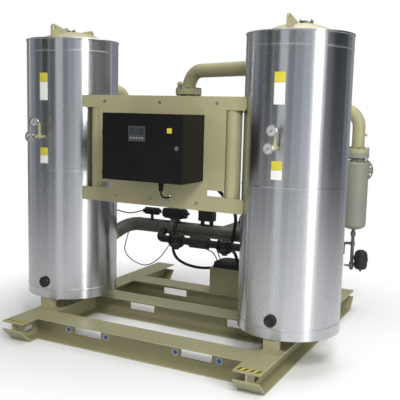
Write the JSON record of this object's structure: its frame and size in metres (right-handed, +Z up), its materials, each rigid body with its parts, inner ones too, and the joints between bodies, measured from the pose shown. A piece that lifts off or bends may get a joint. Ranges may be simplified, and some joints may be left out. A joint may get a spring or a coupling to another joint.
{
  "type": "desiccant air dryer",
  "caption": "Twin-tower desiccant air dryer on a forklift skid: jacketed vessels, control cabinet on a panel, valved inlet manifold, outlet header and after-filter.",
  "frame": {"origin": "on the floor under the middle of the skid, on the underside of the middle cross beam", "axes": "+X to the right along the front, +Y from the front to the back, +Z up"},
  "size_m": [2.604, 2.32, 2.367],
  "materials": {
    "frame_paint": "khaki beige enamel, satin",
    "desiccant": "white beads",
    "insulation": "mineral wool",
    "jacket": "polished stainless sheet",
    "fitting": "zinc-plated steel",
    "gauge": "steel case with a white dial",
    "needle": "matt black",
    "cabinet_paint": "black powder coat, satin",
    "display": "dark display window",
    "board": "grey mounting plate",
    "pipe_metal": "grey-brown primed pipe",
    "black_casting": "black paint",
    "cable": "black sheath"
  },
  "bodies": {
    "frame": {"left_side_beam": "frame_paint", "right_side_beam": "frame_paint", "front_cross_beam": "frame_paint", "middle_cross_beam": "frame_paint", "rear_cross_beam": "frame_paint", "left_vessel": "frame_paint", "right_vessel": "frame_paint", "left_desiccant": "desiccant", "right_desiccant": "desiccant", "left_insulation": "insulation", "right_insulation": "insulation", "left_lower_jacket": "jacket", "right_lower_jacket": "jacket", "left_upper_jacket": "jacket", "right_upper_jacket": "jacket", "lifting_lugs": "frame_paint", "fill_caps": "fitting", "port_plugs": "black_casting", "left_gauge_pipe": "frame_paint", "right_gauge_pipe": "frame_paint", "left_upper_gauge": "gauge", "left_lower_gauge": "gauge", "right_upper_gauge": "gauge", "right_lower_gauge": "gauge", "control_panel": "frame_paint", "cabinet_box": "cabinet_paint", "control_board": "board", "left_outlet_pipe": "frame_paint", "right_outlet_pipe": "frame_paint", "outlet_header": "frame_paint", "bolts": "fitting", "filter_vessel": "frame_paint", "filter_element": "desiccant", "drain_pipe": "pipe_metal", "auto_drain": "black_casting", "inlet_manifold": "pipe_metal", "left_actuator": "black_casting", "right_actuator": "black_casting", "purge_pipe": "black_casting", "pilot_block": "black_casting", "solenoid_box": "black_casting", "supply_box": "frame_paint", "box_hood": "black_casting", "panel_cable": "cable", "cabinet_cable": "cable", "sensor_cable": "cable", "signal_cable": "cable", "supply_hose": "cable"},
    "door": {"cabinet_door": "cabinet_paint", "display_window": "display"},
    "latch": {"door_latch": "fitting"},
    "left_butterfly": {"left_valve_disc": "fitting"},
    "right_butterfly": {"right_valve_disc": "fitting"},
    "left_check": {"left_check_disc": "fitting"},
    "right_check": {"right_check_disc": "fitting"},
    "drain_handle": {"drain_lever": "fitting"},
    "left_upper_pointer": {"left_upper_needle": "needle"},
    "left_lower_pointer": {"left_lower_needle": "needle"},
    "right_upper_pointer": {"right_upper_needle": "needle"},
    "right_lower_pointer": {"right_lower_needle": "needle"}
  },
  "joints": [
    {"name": "door_hinge", "type": "hinge", "parent": "frame", "child": "door", "pos_m": [-0.2765, -0.93, 1.485], "axis": [0, 0, -1], "range_deg": [0, 110]},
    {"name": "latch_turn", "type": "hinge", "parent": "door", "child": "latch", "pos_m": [0.318, -0.95, 1.492], "axis": [0, -1, 0], "range_deg": [0, 90]},
    {"name": "left_valve_turn", "type": "hinge", "parent": "frame", "child": "left_butterfly", "pos_m": [-0.255, 0.08, 0.762], "axis": [0, 0, 1], "range_deg": [0, 90]},
    {"name": "right_valve_turn", "type": "hinge", "parent": "frame", "child": "right_butterfly", "pos_m": [0.45, 0.08, 0.762], "axis": [0, 0, 1], "range_deg": [0, 90]},
    {"name": "left_check_swing", "type": "hinge", "parent": "frame", "child": "left_check", "pos_m": [-0.587, 0.07, 1.521], "axis": [0, -1, 0], "range_deg": [0, 55]},
    {"name": "right_check_swing", "type": "hinge", "parent": "frame", "child": "right_check", "pos_m": [-0.326, 0.07, 1.521], "axis": [0, 1, 0], "range_deg": [0, 55]},
    {"name": "drain_lever_turn", "type": "hinge", "parent": "frame", "child": "drain_handle", "pos_m": [1.026, 0.97, 0.425], "axis": [0, 1, 0], "range_deg": [0, 90]},
    {"name": "left_upper_pointer_turn", "type": "hinge", "parent": "frame", "child": "left_upper_pointer", "pos_m": [-0.94, -0.885, 1.629], "axis": [0, 1, 0], "range_deg": [0, 270], "stiffness_Nm_per_rad": 0.01},
    {"name": "left_lower_pointer_turn", "type": "hinge", "parent": "frame", "child": "left_lower_pointer", "pos_m": [-0.94, -0.935, 1.52], "axis": [0, 1, 0], "range_deg": [0, 270], "stiffness_Nm_per_rad": 0.01},
    {"name": "right_upper_pointer_turn", "type": "hinge", "parent": "frame", "child": "right_upper_pointer", "pos_m": [0.94, -0.885, 1.629], "axis": [0, 1, 0], "range_deg": [0, 270], "stiffness_Nm_per_rad": 0.01},
    {"name": "right_lower_pointer_turn", "type": "hinge", "parent": "frame", "child": "right_lower_pointer", "pos_m": [0.94, -0.935, 1.52], "axis": [0, 1, 0], "range_deg": [0, 270], "stiffness_Nm_per_rad": 0.01}
  ]
}
